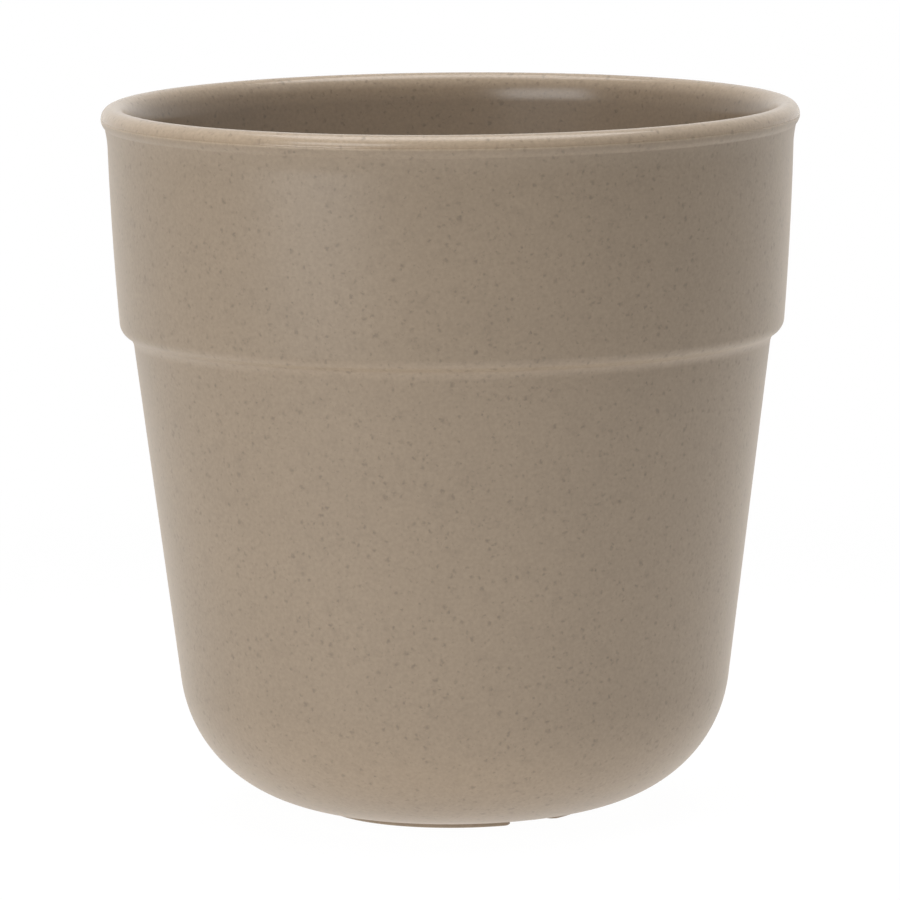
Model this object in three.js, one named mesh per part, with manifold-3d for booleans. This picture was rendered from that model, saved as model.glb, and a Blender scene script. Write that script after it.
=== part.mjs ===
// A coffee mug without a handle, with two moulded walls and an air gap between them.
// An outer shell takes a liner from above, whose lip rests on the shell's top edge, and a cap from
// below, which closes the shell and carries the standing ring.
// Millimetres, +Z up, origin on the ground under the middle of the mug, front towards -Y.
import * as THREE from "three";
import { mergeVertices } from "three/addons/utils/BufferGeometryUtils.js";
import Module from "manifold-3d";

// Rim: the liner's lip is the upper half of a round bead, and the shell's top edge is the lower half
const HEIGHT = 92.0;
const LIP_OUTER_R = 45.1;
const LIP_ROUND = 1.6;
const LIP_OVERHANG = 0.82;
const BEAD_TURN_DEG = 47;
const FLARE_HEIGHT = 3.0;

// Outer shell: a slightly crowned collar, a rounded ledge with a hollow under it, a tapered wall and
// a round bottom
const SHELL_WALL = 1.4;
const COLLAR_HEIGHT = 23.5;
const COLLAR_DRAFT_DEG = 3.1;
const COLLAR_CROWN = 0.15;
const LEDGE_DEPTH = 1.67;
const LEDGE_ROUND = 1.9;
const LEDGE_HOLLOW = 2.0;
const WALL_DRAFT_DEG = 7.23;
const BOTTOM_CURVE_TOP_Z = 17.25;
const BOTTOM_FLAT_R = 14.55;
const BOTTOM_FULLNESS = 0.595;

// Liner: its spigot centres it in the shell's mouth, and it tapers away from the wall below that
const LINER_WALL = 1.4;
const LINER_FLOOR = 1.6;
const THROAT_ROUND = 8.5;
const GAP_TAPER_DEG = 1.27;
const GAP_BELOW = 2.2;
const SPIGOT_HEIGHT = 3.0;
const SPIGOT_STEP = 0.3;
const SPIGOT_CLEARANCE = 0.2;

// Base cap: a stepped disc in a rebate of the shell
const CAP_MARGIN = 1.5;
const CAP_FLANGE = 1.4;
const CAP_CLEARANCE = 0.2;
const SEAT_WIDTH = 5.0;
const SEAT_WALL = 1.2;

// Standing ring on the cap, broken by drain gaps
const FOOT_HEIGHT = 0.52;
const FOOT_OUTER_R = 17.1;
const FOOT_WIDTH = 2.4;
const FOOT_EDGE = 0.3;
const FOOT_ROOT = 0.6;
const FOOT_COUNT = 3;
const FOOT_GAP_DEG = 21.5;
const FIRST_GAP_DEG = 306.3;

// Fineness of the facets
const RING_STEPS = 60;
const LIP_STEPS = 10;
const BEAD_STEPS = 3;
const THROAT_STEPS = 3;
const COLLAR_STEPS = 4;
const LEDGE_STEPS = 5;
const HOLLOW_STEPS = 4;
const CURVE_STEPS = 8;
const CAP_STEPS = 3;
const FOOT_STEPS = 10;
const SEARCH_STEPS = 40;
const MERGE_MM = 1e-3;

const rad = THREE.MathUtils.degToRad;
const deg = THREE.MathUtils.radToDeg;
const slope = (degrees) => Math.tan(rad(degrees));
const point = (r, z) => new THREE.Vector2(r, z);

// Values from one end to the other, both ends included.
function spread(from, to, steps) {
  return Array.from({ length: steps + 1 }, (_, i) => from + ((to - from) * i) / steps);
}

// Points of an arc in the profile plane, with angles from +R towards +Z.
function arc(centre, radius, fromDeg, toDeg, steps) {
  return spread(rad(fromDeg), rad(toDeg), steps).map((angle) =>
    point(centre.x + radius * Math.cos(angle), centre.y + radius * Math.sin(angle)),
  );
}

// Turns a profile, drawn counter-clockwise in radius and height, about the mug's axis.
function turned(profile) {
  const distinct = profile.filter((p, i) => i === 0 || p.distanceTo(profile[i - 1]) > MERGE_MM);
  return new THREE.LatheGeometry(distinct, RING_STEPS).rotateX(Math.PI / 2);
}

// Heights of the seats
const seamZ = HEIGHT - LIP_ROUND;
const flareFootZ = seamZ - FLARE_HEIGHT;
const collarFootZ = flareFootZ - COLLAR_HEIGHT;
const baseZ = FOOT_HEIGHT;
const seatZ = baseZ + CAP_FLANGE;
const shellFloorZ = seatZ + SEAT_WALL;

// Radii of the cap and of the shell's rebate and hole for it
const capR = FOOT_OUTER_R + CAP_MARGIN;
const capSpigotR = capR - SEAT_WIDTH;
const rebateR = capR + CAP_CLEARANCE;
const holeR = capSpigotR + CAP_CLEARANCE;

// Collar, from its foot up to the flare: a leaning line outside, with the crown added, and inside
const lipCentre = point(LIP_OUTER_R - LIP_ROUND, seamZ);
const collarLineR = (z) => LIP_OUTER_R - LIP_OVERHANG - (flareFootZ - z) * slope(COLLAR_DRAFT_DEG);
const collarInnerR = (z) => collarLineR(z) - SHELL_WALL / Math.cos(rad(COLLAR_DRAFT_DEG));
function collarR(z) {
  const share = (z - collarFootZ) / COLLAR_HEIGHT;
  return collarLineR(z) + 4 * COLLAR_CROWN * share * (1 - share);
}

// Ledge: the collar's lower edge turns in until it would meet the wall
const collarFootLean = Math.atan(slope(COLLAR_DRAFT_DEG) + (4 * COLLAR_CROWN) / COLLAR_HEIGHT);
const ledgeCentre = point(
  collarR(collarFootZ) - LEDGE_ROUND * Math.cos(collarFootLean),
  collarFootZ + LEDGE_ROUND * Math.sin(collarFootLean),
);
const wallTopR = collarR(collarFootZ) - LEDGE_DEPTH;
const ledgeTurn = Math.acos(THREE.MathUtils.clamp((wallTopR - ledgeCentre.x) / LEDGE_ROUND, 0, 1));
const ledgeZ = ledgeCentre.y - LEDGE_ROUND * Math.sin(ledgeTurn);
const wallR = (z) => wallTopR - (ledgeZ - z) * slope(WALL_DRAFT_DEG);
const wallInnerR = (z) => wallR(z) - SHELL_WALL / Math.cos(rad(WALL_DRAFT_DEG));

// Hollow under the ledge: an arc tangent to the collar's lower edge and to the wall
const wallOut = point(Math.cos(rad(WALL_DRAFT_DEG)), -Math.sin(rad(WALL_DRAFT_DEG)));
const wallUp = point(-wallOut.y, wallOut.x);
const hollowAcross = point(wallTopR, ledgeZ).sub(ledgeCentre).dot(wallOut) + LEDGE_HOLLOW;
const hollowDown = Math.sqrt(Math.max((LEDGE_ROUND + LEDGE_HOLLOW) ** 2 - hollowAcross ** 2, 0));
const toHollow = point(0, 0).addScaledVector(wallOut, hollowAcross).addScaledVector(wallUp, -hollowDown);
const hollowCentre = ledgeCentre.clone().add(toHollow);
const hollowDeg = deg(Math.atan2(toHollow.y, toHollow.x));

// Round bottom, from a flat at floorZ out and up to the wall
function bottomCurve(floorZ, radiusAt) {
  const start = point(BOTTOM_FLAT_R, floorZ);
  const end = point(radiusAt(BOTTOM_CURVE_TOP_Z), BOTTOM_CURVE_TOP_Z);
  const corner = point(radiusAt(floorZ), floorZ);
  const handles = [start, end].map((tip) => tip.clone().lerp(corner, BOTTOM_FULLNESS));
  return new THREE.CubicBezierCurve(start, ...handles, end);
}
const outerBottom = bottomCurve(baseZ, wallR);
const innerBottom = bottomCurve(shellFloorZ, wallInnerR);

// Where a bottom curve passes a radius: its own parameter there, or 0 over the flat.
function parameterAt(curve, radius) {
  let low = 0;
  let high = 1;
  for (let i = 0; i < SEARCH_STEPS; i++) {
    const middle = (low + high) / 2;
    if (curve.getPoint(middle).x < radius) low = middle;
    else high = middle;
  }
  return low;
}

// Points of a bottom between two radii, the second of which is the curve's end if none is given.
function bottomPoints(curve, steps, fromR, toR = curve.v3.x) {
  const parameters = spread(parameterAt(curve, fromR), parameterAt(curve, toR), steps);
  const onCurve = parameters.map((t) => curve.getPoint(t));
  const between = onCurve.filter((p) => p.x > fromR && p.x < toR);
  return [point(fromR, onCurve[0].y), ...between, point(toR, onCurve.at(-1).y)];
}

function outerShell() {
  const outside = [
    ...bottomPoints(outerBottom, CURVE_STEPS, rebateR),
    ...arc(hollowCentre, LEDGE_HOLLOW, 180 - WALL_DRAFT_DEG, 180 + hollowDeg, HOLLOW_STEPS),
    ...arc(ledgeCentre, LEDGE_ROUND, hollowDeg, -deg(collarFootLean), LEDGE_STEPS),
    ...spread(collarFootZ, flareFootZ, COLLAR_STEPS).map((z) => point(collarR(z), z)),
    ...arc(lipCentre, LIP_ROUND, -BEAD_TURN_DEG, 0, BEAD_STEPS),
  ];
  const innerLedgeZ = ledgeZ + SHELL_WALL;
  const innerCollarFootZ = innerLedgeZ + LEDGE_DEPTH;
  const inside = [
    point(collarInnerR(seamZ), seamZ),
    point(collarInnerR(innerCollarFootZ), innerCollarFootZ),
    point(wallInnerR(innerLedgeZ), innerLedgeZ),
    ...bottomPoints(innerBottom, CURVE_STEPS, holeR).reverse(),
    point(holeR, seatZ),
    point(rebateR, seatZ),
  ];
  return turned([...outside, ...inside, outside[0].clone()]);
}

function innerLiner() {
  const draft = rad(WALL_DRAFT_DEG + GAP_TAPER_DEG);
  const spigotR = (z) => collarInnerR(z) - SPIGOT_CLEARANCE;
  const spigotFootZ = seamZ - SPIGOT_HEIGHT;
  const shoulderZ = spigotFootZ - SPIGOT_STEP;
  const outerR = (z) => spigotR(spigotFootZ) - SPIGOT_STEP - (spigotFootZ - z) * Math.tan(draft);
  const innerR = (z) => outerR(z) - LINER_WALL / Math.cos(draft);

  // The throat's arc runs from the lip's round edge to the inner wall, tangent to both.
  const acrossWall = point(Math.cos(draft), -Math.sin(draft));
  const alongWall = point(Math.sin(draft), Math.cos(draft));
  const across = THROAT_ROUND - lipCentre.clone().sub(point(innerR(0), 0)).dot(acrossWall);
  const along = Math.sqrt(Math.max((THROAT_ROUND - LIP_ROUND) ** 2 - across ** 2, 0));
  const throatCentre = lipCentre
    .clone()
    .addScaledVector(acrossWall, across)
    .addScaledVector(alongWall, -along);
  const lipEndDeg = 180 - deg(Math.atan2(lipCentre.y - throatCentre.y, throatCentre.x - lipCentre.x));
  const wallDeg = 180 - deg(draft);

  const underZ = shellFloorZ + GAP_BELOW;
  const floorZ = underZ + LINER_FLOOR;
  return turned([
    ...bottomPoints(bottomCurve(underZ, outerR), CURVE_STEPS, 0),
    point(outerR(shoulderZ), shoulderZ),
    point(spigotR(spigotFootZ), spigotFootZ),
    point(spigotR(seamZ), seamZ),
    ...arc(lipCentre, LIP_ROUND, 0, lipEndDeg, LIP_STEPS),
    ...arc(throatCentre, THROAT_ROUND, lipEndDeg, wallDeg, THROAT_STEPS),
    ...bottomPoints(bottomCurve(floorZ, innerR), CURVE_STEPS, 0).reverse(),
  ]);
}

// One stretch of the standing ring between two drain gaps: a bent bar with round ends.
function foot(index) {
  const pitchDeg = 360 / FOOT_COUNT;
  const halfWidth = FOOT_WIDTH / 2 - FOOT_EDGE;
  const middleR = FOOT_OUTER_R - FOOT_WIDTH / 2;
  const endAngle = Math.asin(FOOT_WIDTH / 2 / middleR);
  const from = rad(FIRST_GAP_DEG + pitchDeg * index + FOOT_GAP_DEG / 2) + endAngle;
  const to = rad(FIRST_GAP_DEG + pitchDeg * (index + 1) - FOOT_GAP_DEG / 2) - endAngle;
  const end = (angle) => [middleR * Math.cos(angle), middleR * Math.sin(angle), halfWidth];
  const outline = new THREE.Shape()
    .absarc(0, 0, middleR + halfWidth, from, to, false)
    .absarc(...end(to), to, to + Math.PI, false)
    .absarc(0, 0, middleR - halfWidth, to, from, true)
    .absarc(...end(from), from + Math.PI, from + 2 * Math.PI, false);
  const bar = new THREE.ExtrudeGeometry(outline, {
    depth: FOOT_HEIGHT + FOOT_ROOT - 2 * FOOT_EDGE,
    curveSegments: FOOT_STEPS,
    bevelSize: FOOT_EDGE,
    bevelThickness: FOOT_EDGE,
    bevelSegments: 1,
  });
  return bar.translate(0, 0, FOOT_EDGE);
}

// Joins closed geometries into one closed body
const wasm = await Module();
wasm.setup();

function solidOf(geometry) {
  const bare = new THREE.BufferGeometry().setAttribute("position", geometry.getAttribute("position"));
  const merged = mergeVertices(bare.setIndex(geometry.index), MERGE_MM);
  return new wasm.Manifold(
    new wasm.Mesh({
      numProp: 3,
      vertProperties: merged.getAttribute("position").array,
      triVerts: new Uint32Array(merged.index.array),
    }),
  );
}

function joined(geometries) {
  const whole = geometries.map(solidOf).reduce((sum, next) => sum.add(next));
  const { vertProperties, triVerts } = whole.getMesh();
  return new THREE.BufferGeometry()
    .setAttribute("position", new THREE.BufferAttribute(vertProperties, 3))
    .setIndex(new THREE.BufferAttribute(triVerts, 1));
}

function baseCap() {
  const disc = turned([
    ...bottomPoints(outerBottom, CAP_STEPS, 0, capR),
    point(capR, seatZ),
    point(capSpigotR, seatZ),
    point(capSpigotR, shellFloorZ),
    point(0, shellFloorZ),
  ]);
  const feet = Array.from({ length: FOOT_COUNT }, (_, i) => foot(i));
  return joined([disc, ...feet]);
}

// Colours and finish
const taupe = new THREE.MeshStandardMaterial({ color: "#988a78", roughness: 0.62, metalness: 0 });
const warmTaupe = new THREE.MeshStandardMaterial({ color: "#9d8b73", roughness: 0.45, metalness: 0 });

function piece(name, geometry, material) {
  const mesh = new THREE.Mesh(geometry, material);
  mesh.name = name;
  return mesh;
}

const mug = new THREE.Group();
mug.add(
  piece("outer_shell", outerShell(), taupe),
  piece("inner_liner", innerLiner(), warmTaupe),
  piece("base_cap", baseCap(), taupe),
);

export default mug;
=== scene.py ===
"""The looks of a coffee mug without a handle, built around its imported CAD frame.

A speckled outer shell, a warmer liner with a rounded lip, and a base cap with a broken standing ring.
Metres, +Z up, front towards -Y.
"""

import math

import bmesh
import bpy
from mathutils import Matrix, Vector


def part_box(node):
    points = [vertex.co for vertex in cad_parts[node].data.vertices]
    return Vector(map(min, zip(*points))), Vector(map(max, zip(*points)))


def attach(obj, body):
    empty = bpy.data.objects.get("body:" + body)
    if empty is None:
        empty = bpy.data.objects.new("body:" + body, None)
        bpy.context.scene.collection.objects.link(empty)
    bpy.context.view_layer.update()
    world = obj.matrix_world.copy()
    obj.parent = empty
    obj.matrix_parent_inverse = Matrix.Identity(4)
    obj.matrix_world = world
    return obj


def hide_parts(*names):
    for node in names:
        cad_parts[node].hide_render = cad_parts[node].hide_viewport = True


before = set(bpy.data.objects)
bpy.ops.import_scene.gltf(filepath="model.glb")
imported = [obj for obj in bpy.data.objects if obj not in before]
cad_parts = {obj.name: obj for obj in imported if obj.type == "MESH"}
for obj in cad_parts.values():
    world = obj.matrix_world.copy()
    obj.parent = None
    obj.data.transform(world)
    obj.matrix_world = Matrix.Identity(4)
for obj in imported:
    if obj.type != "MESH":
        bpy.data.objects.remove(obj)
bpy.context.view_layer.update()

MM = 0.001

# Sizes that the frame gives
liner_low, liner_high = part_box("inner_liner")
_, shell_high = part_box("outer_shell")
_, cap_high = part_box("base_cap")
HEIGHT = liner_high.z
LIP_OUTER_R = liner_high.x
SEAM_Z = shell_high.z
LINER_UNDER_Z = liner_low.z
CAP_R = cap_high.x
SHELL_FLOOR_Z = cap_high.z

# Rim
LIP_ROUND = HEIGHT - SEAM_Z
LIP_OVERHANG = 0.82 * MM
BEAD_TURN = math.radians(47)
BEAD_CORNER = 0.4 * MM
FLARE_HEIGHT = 3.0 * MM
FLARE_CORNER = 10.0 * MM
SEAM_EDGE = 0.03 * MM

# Outer shell
SHELL_WALL = 1.4 * MM
COLLAR_HEIGHT = 23.5 * MM
COLLAR_DRAFT = math.radians(3.1)
COLLAR_CROWN = 0.15 * MM
LEDGE_DEPTH = 1.67 * MM
LEDGE_ROUND = 1.9 * MM
LEDGE_HOLLOW = 2.0 * MM
WALL_DRAFT = math.radians(7.23)
BOTTOM_CURVE_TOP_Z = 17.25 * MM
BOTTOM_FLAT_R = 14.55 * MM
BOTTOM_FULLNESS = 0.595

# Liner
LINER_WALL = 1.4 * MM
LINER_FLOOR = 1.6 * MM
LINER_DRAFT = WALL_DRAFT + math.radians(1.27)
THROAT_ROUND = 8.5 * MM
SPIGOT_HEIGHT = 3.0 * MM
SPIGOT_STEP = 0.3 * MM
SPIGOT_CLEARANCE = 0.2 * MM

# Base cap and standing ring
CAP_FLANGE = 1.4 * MM
CAP_CLEARANCE = 0.2 * MM
CAP_EDGE = 0.15 * MM
SEAT_WIDTH = 5.0 * MM
FOOT_HEIGHT = 0.52 * MM
FOOT_OUTER_R = 17.1 * MM
FOOT_WIDTH = 2.4 * MM
FOOT_EDGE = 0.3 * MM
FOOT_ROOT = 0.6 * MM
FOOT_COUNT = 3
FOOT_GAP = math.radians(21.5)
FIRST_GAP = math.radians(306.3)

# Fineness of the meshes
RING_STEPS = 256
LIP_STEPS = 28
THROAT_STEPS = 14
BEAD_STEPS = 10
COLLAR_STEPS = 16
LEDGE_STEPS = 16
CURVE_STEPS = 40
CAP_STEPS = 8
EDGE_STEPS = 4
FOOT_STEPS = 40
FOOT_END_STEPS = 12
SEARCH_STEPS = 40
SHARP_ANGLE = math.radians(35)

# Colours, as linear red, green and blue
TAUPE = (0.321, 0.248, 0.175)
WARM_TAUPE = (0.33, 0.24, 0.153)
# Painted glow: the paler tan that the rim turns to towards its edge stands in for light shining through the
# thin plastic there
RIM_GLOW_TAN = (0.515, 0.396, 0.28)
BLOOM_TINT = (1.0, 0.86, 0.7)
FLOOR_WHITE = (0.9, 0.9, 0.9)
WHITE = (1.0, 1.0, 1.0)

# Marks in the plastic, a lighter band under the seam and painted glow on the rim: a shade multiplies the
# colour, and a swing goes as far below 1 as above it
CLOUD_SWING = 0.02
GRAIN_SWING = 0.07
SMUDGE_SHADE = 0.93
SPECK_SHADE = 0.73
DOT_SHADE = 0.82
SEAM_SHADE = 1.3
SEAM_LINE = 0.3 * MM
# The painted rim glow grows from this far under the seam to full strength this far under the top
RIM_GLOW_FADE = 0.6 * MM
NOISE_LOW = 0.3
NOISE_HIGH = 0.7
NOISE_MEAN = 0.5
SMUDGE_LOW = 0.55
SMUDGE_HIGH = 0.75
WANDER_MM = 0.8
SMALLEST_SPECK_SHARE = 0.5

# Gloss of the plastic, with a pale bloom where it is seen at a grazing angle
PLASTIC_IOR = 1.5
EDGE_BLOOM = 0.26
BLOOM_ROUGHNESS = 0.3

# Sockets of a Mix node that mixes colours, where names are not unique
MIX_SHARE = 0
MIX_FIRST = 6
MIX_SECOND = 7
MIX_RESULT = 2

# Camera, with angles in radians, and the lamps' distance from the mug
CAMERA_PLACE = (0.0, -0.9972, 0.1848)
CAMERA_LENS_MM = 310.13
CAMERA_PITCH = 0.1376
CAMERA_ROLL = 0.0084
CAMERA_YAW = 0.0004
LAMP_DISTANCE = 0.9


def point(r, z):
    """A point or a direction in the profile plane."""
    return Vector((r, z))


def spread(first, last, steps):
    """Values from first to last, both included."""
    return [first + (last - first) * i / steps for i in range(steps + 1)]


def on_circle(centre, radius, angle):
    """A point of a circle, with the angle from +R towards +Z."""
    return centre + radius * point(math.cos(angle), math.sin(angle))


def arc(centre, radius, first, last, steps):
    """Points of a circle from one angle to another."""
    return [on_circle(centre, radius, angle) for angle in spread(first, last, steps)]


def along(angle):
    """The direction in which a circle runs on at an angle, to the left."""
    return point(-math.sin(angle), math.cos(angle))


def turn_between(into, out):
    """The angle from one direction to another, to the left."""
    return math.atan2(into.x * out.y - into.y * out.x, into.dot(out))


def corner_reach(into, out, radius):
    """How far from its corner a round corner starts and ends."""
    return radius * math.tan(abs(turn_between(into, out)) / 2)


def round_corner(corner, into, out, radius):
    """Points of an arc that replaces the corner between two directions."""
    turn = turn_between(into, out)
    start = corner - into * corner_reach(into, out, radius)
    centre = start + point(-into.y, into.x) * math.copysign(radius, turn)
    first = math.atan2(start.y - centre.y, start.x - centre.x)
    return arc(centre, radius, first, first + turn, EDGE_STEPS)


# Directions, heights and radii of the profile
OUT = point(1, 0)
IN = point(-1, 0)
UP = point(0, 1)
DOWN = point(0, -1)
lip_centre = point(LIP_OUTER_R - LIP_ROUND, SEAM_Z)
flare_foot_z = SEAM_Z - FLARE_HEIGHT
collar_foot_z = flare_foot_z - COLLAR_HEIGHT
seat_z = FOOT_HEIGHT + CAP_FLANGE
rebate_r = CAP_R + CAP_CLEARANCE
spigot_hole_r = CAP_R - SEAT_WIDTH + CAP_CLEARANCE


def collar_line_r(z):
    """The collar's outer radius without its crown."""
    return LIP_OUTER_R - LIP_OVERHANG - (flare_foot_z - z) * math.tan(COLLAR_DRAFT)


def collar_inner_r(z):
    return collar_line_r(z) - SHELL_WALL / math.cos(COLLAR_DRAFT)


def collar_point(z):
    """A point on the collar's outside, whose crown is a parabola that is highest halfway up."""
    share = (z - collar_foot_z) / COLLAR_HEIGHT
    return point(collar_line_r(z) + 4 * COLLAR_CROWN * share * (1 - share), z)


# The collar's lean at both ends of its crown
crown_slope = 4 * COLLAR_CROWN / COLLAR_HEIGHT
collar_foot_lean = math.atan(math.tan(COLLAR_DRAFT) + crown_slope)
collar_top_lean = math.atan(math.tan(COLLAR_DRAFT) - crown_slope)

# The collar's round lower edge turns in to the wall's top, where the hollow takes up the corner
collar_foot = collar_point(collar_foot_z)
ledge_centre = on_circle(collar_foot, LEDGE_ROUND, math.pi - collar_foot_lean)
wall_top_r = collar_foot.x - LEDGE_DEPTH
ledge_turn = math.acos((wall_top_r - ledge_centre.x) / LEDGE_ROUND)
wall_top = point(wall_top_r, ledge_centre.y - LEDGE_ROUND * math.sin(ledge_turn))


def wall_r(z):
    return wall_top.x - (wall_top.y - z) * math.tan(WALL_DRAFT)


def wall_inner_r(z):
    return wall_r(z) - SHELL_WALL / math.cos(WALL_DRAFT)


class Bottom:
    """A round bottom: a flat at floor_z, then one Bezier curve out and up to a leaning wall."""

    def __init__(self, floor_z, radius_at):
        start = point(BOTTOM_FLAT_R, floor_z)
        end = point(radius_at(BOTTOM_CURVE_TOP_Z), BOTTOM_CURVE_TOP_Z)
        corner = point(radius_at(floor_z), floor_z)
        handles = [tip.lerp(corner, BOTTOM_FULLNESS) for tip in (start, end)]
        self.knots = [start, *handles, end]

    def at(self, t):
        s = 1 - t
        weights = (s**3, 3 * s * s * t, 3 * s * t * t, t**3)
        return sum((w * knot for w, knot in zip(weights, self.knots)), point(0, 0))

    def parameter_at(self, radius):
        """Where the curve reaches a radius, found by halving."""
        low, high = 0.0, 1.0
        for _ in range(SEARCH_STEPS):
            middle = (low + high) / 2
            if self.at(middle).x < radius:
                low = middle
            else:
                high = middle
        return low

    def points(self, steps, from_r, to_r=None):
        """Points from one radius to another, or to the curve's end."""
        last = 1.0 if to_r is None else self.parameter_at(to_r)
        curve = [self.at(t) for t in spread(self.parameter_at(from_r), last, steps)]
        if from_r < BOTTOM_FLAT_R:
            curve.insert(0, point(from_r, curve[0].y))
        return curve


outer_bottom = Bottom(FOOT_HEIGHT, wall_r)
inner_bottom = Bottom(SHELL_FLOOR_Z, wall_inner_r)


def mesh_from(bm, name):
    """A mesh with its faces turned outward. The bmesh is used up."""
    bmesh.ops.recalc_face_normals(bm, faces=bm.faces)
    mesh = bpy.data.meshes.new(name)
    bm.to_mesh(mesh)
    bm.free()
    return mesh


def turned(name, profile, closed):
    """A mesh turned about the axis from a closed ring of points, or from a row that ends on the axis."""
    turns = [2 * math.pi * i / RING_STEPS for i in range(RING_STEPS)]
    bm = bmesh.new()
    rings = []
    for p in profile:
        if p.x == 0:
            rings.append([bm.verts.new((0, 0, p.y))] * RING_STEPS)
        else:
            rings.append([bm.verts.new((p.x * math.cos(a), p.x * math.sin(a), p.y)) for a in turns])
    for lower, upper in zip(rings, rings[1:] + (rings[:1] if closed else [])):
        for i in range(RING_STEPS):
            corners = (lower[i - 1], lower[i], upper[i], upper[i - 1])
            bm.faces.new(list(dict.fromkeys(corners)))
    return mesh_from(bm, name)


def outer_shell():
    """The outer wall, from the edge of its opening below to the seam under the lip, and back inside."""
    # The hollow under the ledge is tangent to the wall and to the collar's round edge
    wall_up = point(math.sin(WALL_DRAFT), math.cos(WALL_DRAFT))
    wall_out = point(math.cos(WALL_DRAFT), -math.sin(WALL_DRAFT))
    across = (wall_top - ledge_centre).dot(wall_out) + LEDGE_HOLLOW
    down = math.sqrt((LEDGE_ROUND + LEDGE_HOLLOW) ** 2 - across**2)
    to_hollow = across * wall_out - down * wall_up
    ledge_start = math.atan2(to_hollow.y, to_hollow.x)
    hollow_centre = ledge_centre + to_hollow

    flare_foot = collar_point(flare_foot_z)
    bead_start = on_circle(lip_centre, LIP_ROUND, -BEAD_TURN)
    collar_up = point(math.sin(collar_top_lean), math.cos(collar_top_lean))
    flare_up = (bead_start - flare_foot).normalized()
    bead_out = along(-BEAD_TURN)
    flare_reach = corner_reach(collar_up, flare_up, FLARE_CORNER)
    bead_first = -BEAD_TURN + corner_reach(flare_up, bead_out, BEAD_CORNER) / LIP_ROUND
    collar_heights = spread(collar_foot_z, flare_foot_z - flare_reach, COLLAR_STEPS)

    bottom = outer_bottom.points(CURVE_STEPS, rebate_r)
    bottom_out = (bottom[1] - bottom[0]).normalized()
    outside = [
        *round_corner(bottom[0], DOWN, bottom_out, CAP_EDGE),
        *bottom[1:],
        *arc(hollow_centre, LEDGE_HOLLOW, math.pi - WALL_DRAFT, math.pi + ledge_start, LEDGE_STEPS),
        *arc(ledge_centre, LEDGE_ROUND, ledge_start, -collar_foot_lean, LEDGE_STEPS)[1:],
        *[collar_point(z) for z in collar_heights[1:-1]],
        *round_corner(flare_foot, collar_up, flare_up, FLARE_CORNER),
        *round_corner(bead_start, flare_up, bead_out, BEAD_CORNER),
        *arc(lip_centre, LIP_ROUND, bead_first, -SEAM_EDGE / LIP_ROUND, BEAD_STEPS)[:-1],
        *round_corner(point(LIP_OUTER_R, SEAM_Z), UP, IN, SEAM_EDGE),
    ]
    inner_ledge_z = wall_top.y + SHELL_WALL
    inner_collar_foot_z = inner_ledge_z + LEDGE_DEPTH
    inside = [
        point(collar_inner_r(SEAM_Z), SEAM_Z),
        point(collar_inner_r(inner_collar_foot_z), inner_collar_foot_z),
        point(wall_inner_r(inner_ledge_z), inner_ledge_z),
        *reversed(inner_bottom.points(CURVE_STEPS, spigot_hole_r)),
        point(spigot_hole_r, seat_z),
        point(rebate_r, seat_z),
    ]
    return turned("outer_shell", outside + inside, closed=True)


def inner_liner():
    """The drinking cup: its outside up to the lip, over the lip and down the inside."""
    spigot_foot_z = SEAM_Z - SPIGOT_HEIGHT
    shoulder_z = spigot_foot_z - SPIGOT_STEP

    def spigot_r(z):
        return collar_inner_r(z) - SPIGOT_CLEARANCE

    def outer_r(z):
        return spigot_r(spigot_foot_z) - SPIGOT_STEP - (spigot_foot_z - z) * math.tan(LINER_DRAFT)

    def inner_r(z):
        return outer_r(z) - LINER_WALL / math.cos(LINER_DRAFT)

    # The throat's arc is tangent to the lip's round edge and to the inner wall
    across_wall = point(math.cos(LINER_DRAFT), -math.sin(LINER_DRAFT))
    along_wall = point(math.sin(LINER_DRAFT), math.cos(LINER_DRAFT))
    across = THROAT_ROUND - (lip_centre - point(inner_r(0), 0)).dot(across_wall)
    down = math.sqrt((THROAT_ROUND - LIP_ROUND) ** 2 - across**2)
    throat_centre = lip_centre + across * across_wall - down * along_wall
    towards_lip = lip_centre - throat_centre
    lip_end = math.atan2(towards_lip.y, towards_lip.x)
    wall_angle = math.pi - LINER_DRAFT

    under = Bottom(LINER_UNDER_Z, outer_r).points(CURVE_STEPS, 0)
    floor = Bottom(LINER_UNDER_Z + LINER_FLOOR, inner_r).points(CURVE_STEPS, 0)
    profile = [
        *under,
        point(outer_r(shoulder_z), shoulder_z),
        point(spigot_r(spigot_foot_z), spigot_foot_z),
        point(spigot_r(SEAM_Z), SEAM_Z),
        *round_corner(point(LIP_OUTER_R, SEAM_Z), OUT, UP, SEAM_EDGE),
        *arc(lip_centre, LIP_ROUND, SEAM_EDGE / LIP_ROUND, lip_end, LIP_STEPS)[1:],
        *arc(throat_centre, THROAT_ROUND, lip_end, wall_angle, THROAT_STEPS)[1:],
        *reversed(floor),
    ]
    return turned("inner_liner", profile, closed=False)


def foot_outline(half_width, first, last):
    """Corners of a bent bar with round ends, seen from above."""
    axis = point(0, 0)
    middle_r = FOOT_OUTER_R - FOOT_WIDTH / 2
    first_end = on_circle(axis, middle_r, first)
    last_end = on_circle(axis, middle_r, last)
    return [
        *arc(axis, middle_r + half_width, first, last, FOOT_STEPS),
        *arc(last_end, half_width, last, last + math.pi, FOOT_END_STEPS)[1:-1],
        *arc(axis, middle_r - half_width, last, first, FOOT_STEPS),
        *arc(first_end, half_width, first + math.pi, first + 2 * math.pi, FOOT_END_STEPS)[1:-1],
    ]


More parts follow.
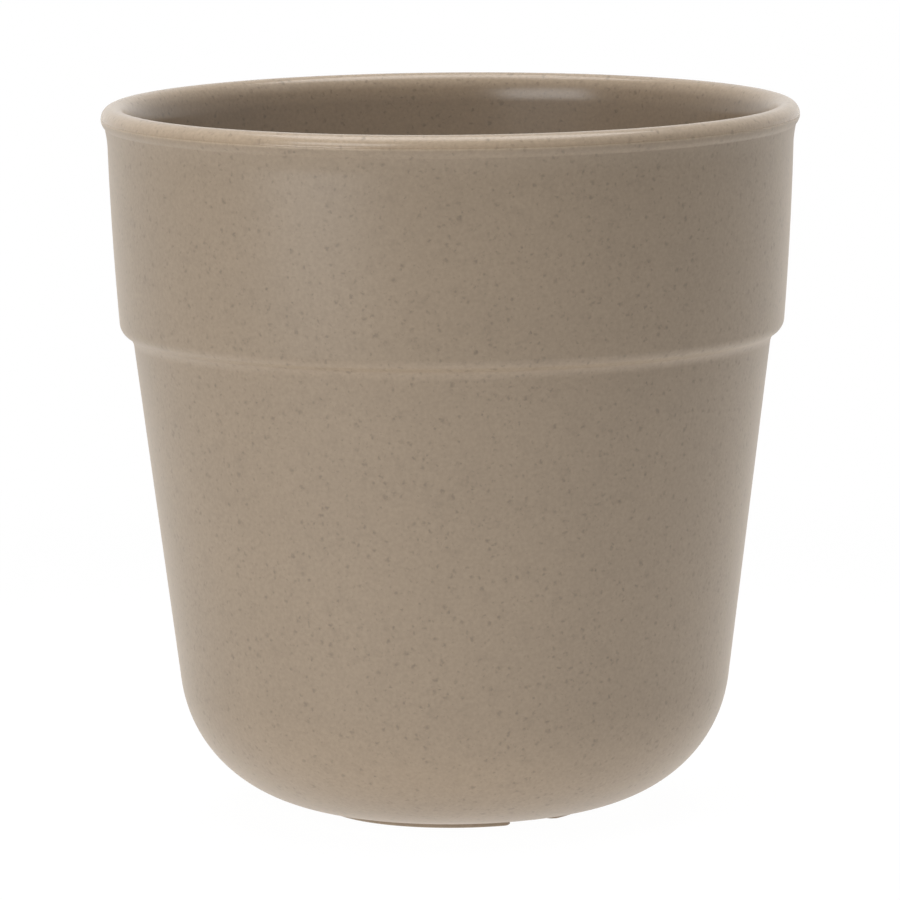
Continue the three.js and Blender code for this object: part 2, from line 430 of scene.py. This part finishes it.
def foot(index):
    """One stretch of the standing ring between two drain gaps, with its lower edge rounded."""
    end_angle = math.asin(FOOT_WIDTH / 2 / (FOOT_OUTER_R - FOOT_WIDTH / 2))
    pitch = 2 * math.pi / FOOT_COUNT
    first = FIRST_GAP + pitch * index + FOOT_GAP / 2 + end_angle
    last = FIRST_GAP + pitch * (index + 1) - FOOT_GAP / 2 - end_angle
    # How far in and how high each outline lies: the rounded edge, then the root inside the disc
    levels = [
        (FOOT_EDGE * (1 - math.sin(a)), FOOT_EDGE * (1 - math.cos(a)))
        for a in spread(0, math.pi / 2, EDGE_STEPS)
    ]
    levels.append((0, FOOT_HEIGHT + FOOT_ROOT))
    bm = bmesh.new()
    rings = []
    for inset, z in levels:
        outline = foot_outline(FOOT_WIDTH / 2 - inset, first, last)
        rings.append([bm.verts.new((p.x, p.y, z)) for p in outline])
    for lower, upper in zip(rings, rings[1:]):
        for i in range(len(lower)):
            bm.faces.new((lower[i - 1], lower[i], upper[i], upper[i - 1]))
    bm.faces.new(rings[0])
    bm.faces.new(rings[-1])
    return mesh_from(bm, f"foot_{index}")


def base_cap():
    """The stepped disc that closes the shell, joined with the stretches of the standing ring."""
    spigot_r = CAP_R - SEAT_WIDTH
    bottom = outer_bottom.points(CAP_STEPS, 0, CAP_R)
    outward = (bottom[-1] - bottom[-2]).normalized()
    profile = [
        *bottom[:-1],
        *round_corner(bottom[-1], outward, UP, CAP_EDGE),
        point(CAP_R, seat_z),
        point(spigot_r, seat_z),
        point(spigot_r, SHELL_FLOOR_Z),
        point(0, SHELL_FLOOR_Z),
    ]
    disc = turned("base_cap_disc", profile, closed=False)
    whole = bpy.data.objects.new("base_cap_whole", disc)
    bpy.context.scene.collection.objects.link(whole)
    feet = []
    for index in range(FOOT_COUNT):
        solid = bpy.data.objects.new(f"foot_{index}", foot(index))
        bpy.context.scene.collection.objects.link(solid)
        join = whole.modifiers.new(solid.name, "BOOLEAN")
        join.operation = "UNION"
        join.solver = "EXACT"
        join.object = solid
        feet.append(solid)
    depsgraph = bpy.context.evaluated_depsgraph_get()
    mesh = bpy.data.meshes.new_from_object(whole.evaluated_get(depsgraph))
    for spare in (whole, *feet):
        bpy.data.objects.remove(spare)
    return mesh


class Nodes:
    """Short ways to add and link shader nodes."""

    def __init__(self, tree):
        self.tree = tree
        tree.nodes.clear()

    def add(self, kind, values=None, **settings):
        """A node with its settings, and with its inputs set to values or linked to sockets."""
        node = self.tree.nodes.new(kind)
        for key, value in settings.items():
            setattr(node, key, value)
        for key, value in (values or {}).items():
            if isinstance(value, bpy.types.NodeSocket):
                self.tree.links.new(value, node.inputs[key])
            else:
                node.inputs[key].default_value = value
        return node

    def math(self, operation, *values):
        node = self.add("ShaderNodeMath", dict(enumerate(values)), operation=operation)
        return node.outputs[0]

    def product(self, first, *others):
        result = first
        for other in others:
            result = self.math("MULTIPLY", result, other)
        return result

    def vector(self, operation, *values, **named):
        inputs = {**dict(enumerate(values)), **named}
        return self.add("ShaderNodeVectorMath", inputs, operation=operation).outputs[0]

    def between(self, value, from_low, from_high, to_low=0.0, to_high=1.0, smooth=False):
        """Maps a value from one range to another, without passing the ends."""
        limits = {
            "Value": value,
            "From Min": from_low,
            "From Max": from_high,
            "To Min": to_low,
            "To Max": to_high,
        }
        kind = "SMOOTHSTEP" if smooth else "LINEAR"
        return self.add("ShaderNodeMapRange", limits, interpolation_type=kind).outputs["Result"]

    def swing(self, noise, size):
        """Turns noise into a shade that is at most size away from 1."""
        return self.between(noise, NOISE_LOW, NOISE_HIGH, 1 - size, 1 + size)

    def noise(self, place, per_mm, detail):
        values = {"Vector": place, "Scale": per_mm, "Detail": detail}
        return self.add("ShaderNodeTexNoise", values)

    def mix(self, share, first, second):
        """A colour between two."""
        values = {MIX_SHARE: share, MIX_FIRST: (*first, 1), MIX_SECOND: (*second, 1)}
        return self.add("ShaderNodeMix", values, data_type="RGBA").outputs[MIX_RESULT]


def speck_mask(nodes, place, per_mm, radius_mm, share):
    """Where grains of filler show at the surface, from 0 to 1.

    The grains are soft balls of several sizes, and the surface cuts them at any depth.
    """
    radius = radius_mm * per_mm
    cells = nodes.add("ShaderNodeTexVoronoi", {"Vector": place, "Scale": per_mm})
    chance = nodes.add("ShaderNodeSeparateColor", {"Color": cells.outputs["Color"]})
    edge = nodes.between(chance.outputs["Red"], 0, 1, SMALLEST_SPECK_SHARE * radius, radius)
    inside = nodes.between(cells.outputs["Distance"], 0, edge, 1, 0, smooth=True)
    there = nodes.math("LESS_THAN", chance.outputs["Green"], share)
    return nodes.math("MULTIPLY", inside, there)


def speckled_plastic(name, colour, roughness, relief_mm, pale_seam=False):
    """Moulded plastic with a plant-fibre filler: clouds of tone, smudges, fine grain and darker specks."""
    material = bpy.data.materials.new(name)
    material.use_nodes = True
    nodes = Nodes(material.node_tree)
    metres = nodes.add("ShaderNodeTexCoord").outputs["Object"]
    height = nodes.add("ShaderNodeSeparateXYZ", {0: metres}).outputs["Z"]
    place = nodes.vector("SCALE", metres, Scale=1 / MM)

    clouds = nodes.noise(place, per_mm=0.09, detail=2).outputs["Fac"]
    smudges = nodes.noise(place, per_mm=0.5, detail=2).outputs["Fac"]
    grain = nodes.noise(place, per_mm=2.2, detail=2).outputs["Fac"]

    # Specks have ragged edges, because their places wander
    drift = nodes.noise(place, per_mm=1.6, detail=1).outputs["Color"]
    wander = nodes.vector("SUBTRACT", drift, (NOISE_MEAN,) * 3)
    ragged = nodes.vector("MULTIPLY_ADD", wander, (WANDER_MM,) * 3, place)
    specks = speck_mask(nodes, ragged, per_mm=0.85, radius_mm=0.52, share=0.8)
    dots = speck_mask(nodes, ragged, per_mm=1.6, radius_mm=0.26, share=0.6)

    shades = [
        nodes.swing(clouds, CLOUD_SWING),
        nodes.swing(grain, GRAIN_SWING),
        nodes.between(smudges, SMUDGE_LOW, SMUDGE_HIGH, 1, SMUDGE_SHADE),
        nodes.between(specks, 0, 1, 1, SPECK_SHADE),
        nodes.between(dots, 0, 1, 1, DOT_SHADE),
    ]
    # A thin band just under the seam is painted lighter
    if pale_seam:
        shades.append(nodes.between(height, SEAM_Z - SEAM_LINE, SEAM_Z, 1, SEAM_SHADE))
    # Painted glow: towards the rim's edge the colour turns to a paler tan, in place of light that shines
    # through the thin plastic there
    rim_glow = nodes.between(height, SEAM_Z - RIM_GLOW_FADE, HEIGHT - RIM_GLOW_FADE, smooth=True)
    tone = nodes.mix(rim_glow, colour, RIM_GLOW_TAN)

    relief = nodes.add("ShaderNodeBump", {"Height": grain, "Distance": relief_mm * MM})
    shader = nodes.add(
        "ShaderNodeBsdfPrincipled",
        {
            "Base Color": nodes.vector("SCALE", tone, Scale=nodes.product(*shades)),
            "Roughness": roughness,
            "Normal": relief.outputs["Normal"],
            "IOR": PLASTIC_IOR,
            "Sheen Weight": EDGE_BLOOM,
            "Sheen Tint": (*BLOOM_TINT, 1),
            "Sheen Roughness": BLOOM_ROUGHNESS,
        },
    )
    nodes.add("ShaderNodeOutputMaterial", {"Surface": shader.outputs["BSDF"]})
    return material


def add_piece(mesh, name, material):
    """Adds a smooth-shaded piece that stands for the node of the same name."""
    mesh.name = name
    mesh.materials.clear()
    mesh.materials.append(material)
    mesh.polygons.foreach_set("use_smooth", [True] * len(mesh.polygons))
    mesh.set_sharp_from_angle(angle=SHARP_ANGLE)
    piece = bpy.data.objects.new(f"{name}_surface", mesh)
    bpy.context.scene.collection.objects.link(piece)
    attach(piece, "root")
    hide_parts(name)


# The mug
taupe = speckled_plastic("taupe_plastic", TAUPE, roughness=0.38, relief_mm=0.006, pale_seam=True)
warm_taupe = speckled_plastic("warm_taupe_plastic", WARM_TAUPE, roughness=0.22, relief_mm=0.0008)
add_piece(outer_shell(), "outer_shell", taupe)
add_piece(inner_liner(), "inner_liner", warm_taupe)
add_piece(base_cap(), "base_cap", taupe)


def seen_directly(nodes):
    """1 for what the camera sees, also in gloss or through glass, and 0 for scattered light."""
    path = nodes.add("ShaderNodeLightPath").outputs
    gloss = nodes.math("MAXIMUM", path["Is Glossy Ray"], path["Is Transmission Ray"])
    return nodes.math("MAXIMUM", path["Is Camera Ray"], gloss)


def white_world():
    """White all round to the eye and in reflections, and no light of its own."""
    world = bpy.data.worlds.new("white")
    world.use_nodes = True
    world.cycles.sampling_method = "NONE"
    bpy.context.scene.world = world
    nodes = Nodes(world.node_tree)
    white = nodes.add("ShaderNodeBackground", {"Color": (*WHITE, 1), "Strength": seen_directly(nodes)})
    nodes.add("ShaderNodeOutputWorld", {"Surface": white.outputs[0]})


def floor_material(glow, glow_from, glow_to, share_seen_white):
    """Matt white with a pool of soft glow that ends glow_to metres from the mug.

    To the eye it is mostly plain white in the pool, where the shadow is faint, and wholly white outside it.
    """
    material = bpy.data.materials.new("floor_white")
    material.use_nodes = True
    material.cycles.emission_sampling = "NONE"
    nodes = Nodes(material.node_tree)
    matt = nodes.add("ShaderNodeBsdfDiffuse", {"Color": (*FLOOR_WHITE, 1)})
    metres = nodes.add("ShaderNodeTexCoord").outputs["Object"]
    from_mug = nodes.add("ShaderNodeVectorMath", {0: metres}, operation="LENGTH").outputs["Value"]
    pool = nodes.between(from_mug, glow_from, glow_to, glow, 0, smooth=True)
    light = nodes.add("ShaderNodeEmission", {"Color": (*WHITE, 1), "Strength": pool})
    lit = nodes.add("ShaderNodeAddShader", {0: matt.outputs[0], 1: light.outputs[0]})
    white = nodes.add("ShaderNodeEmission", {"Color": (*WHITE, 1), "Strength": 1.0})
    plain = nodes.between(from_mug, glow_from, glow_to, share_seen_white, 1, smooth=True)
    share = nodes.math("MULTIPLY", seen_directly(nodes), plain)
    both = nodes.add("ShaderNodeMixShader", {0: share, 1: lit.outputs[0], 2: white.outputs[0]})
    nodes.add("ShaderNodeOutputMaterial", {"Surface": both.outputs[0]})
    return material


def level_floor(size, material):
    """A square floor at the height that the mug stands on."""
    half = size / 2
    corners = [(-half, -half, 0), (half, -half, 0), (half, half, 0), (-half, half, 0)]
    mesh = bpy.data.meshes.new("floor")
    mesh.from_pydata(corners, [], [(0, 1, 2, 3)])
    mesh.materials.append(material)
    floor = bpy.data.objects.new("floor", mesh)
    bpy.context.scene.collection.objects.link(floor)


def soft_box(name, azimuth, elevation, width, height, watts, in_gloss=True):
    """A soft rectangular lamp that faces the mug.

    Its direction is in degrees: azimuth 0 is in front and 90 on the right, and elevation 90 is overhead.
    """
    turn = math.radians(azimuth)
    rise = math.radians(elevation)
    middle = Vector((0, 0, HEIGHT / 2))
    away = Vector((math.sin(turn) * math.cos(rise), -math.cos(turn) * math.cos(rise), math.sin(rise)))
    lamp = bpy.data.lights.new(name, "AREA")
    lamp.shape = "RECTANGLE"
    lamp.size = width
    lamp.size_y = height
    lamp.energy = watts
    holder = bpy.data.objects.new(name, lamp)
    holder.location = middle + away * LAMP_DISTANCE
    holder.rotation_mode = "QUATERNION"
    holder.rotation_quaternion = away.to_track_quat("Z", "Y")
    holder.visible_camera = False
    holder.visible_glossy = in_gloss
    bpy.context.scene.collection.objects.link(holder)


def photo_camera():
    """The camera, in front of the mug and looking slightly down on it."""
    lens = bpy.data.cameras.new("camera")
    lens.lens = CAMERA_LENS_MM
    camera = bpy.data.objects.new("camera", lens)
    yaw = Matrix.Rotation(CAMERA_YAW, 4, "Z")
    pitch = Matrix.Rotation(math.pi / 2 - CAMERA_PITCH, 4, "X")
    roll = Matrix.Rotation(-CAMERA_ROLL, 4, "Z")
    camera.matrix_world = Matrix.Translation(CAMERA_PLACE) @ yaw @ pitch @ roll
    bpy.context.scene.collection.objects.link(camera)
    bpy.context.scene.camera = camera


# The studio
photo_camera()
white_world()
level_floor(12.0, floor_material(glow=0.6, glow_from=0.1, glow_to=0.3, share_seen_white=0.95))
soft_box("left_low_box", azimuth=-46, elevation=2, width=0.5, height=0.14, watts=1.68)
soft_box("left_high_box", azimuth=-38, elevation=30, width=0.5, height=0.28, watts=1.7)
soft_box("top_box", azimuth=180, elevation=82, width=1.0, height=0.5, watts=5.0)
soft_box("front_top_box", azimuth=0, elevation=76, width=0.9, height=0.28, watts=1.3)
soft_box("right_top_box", azimuth=90, elevation=65, width=0.5, height=0.8, watts=0.7)
soft_box("left_back_box", azimuth=-140, elevation=3, width=0.6, height=0.3, watts=1.2, in_gloss=False)
soft_box("right_back_box", azimuth=135, elevation=3, width=0.6, height=0.3, watts=2.4, in_gloss=False)
bpy.context.scene.view_settings.view_transform = "Standard"
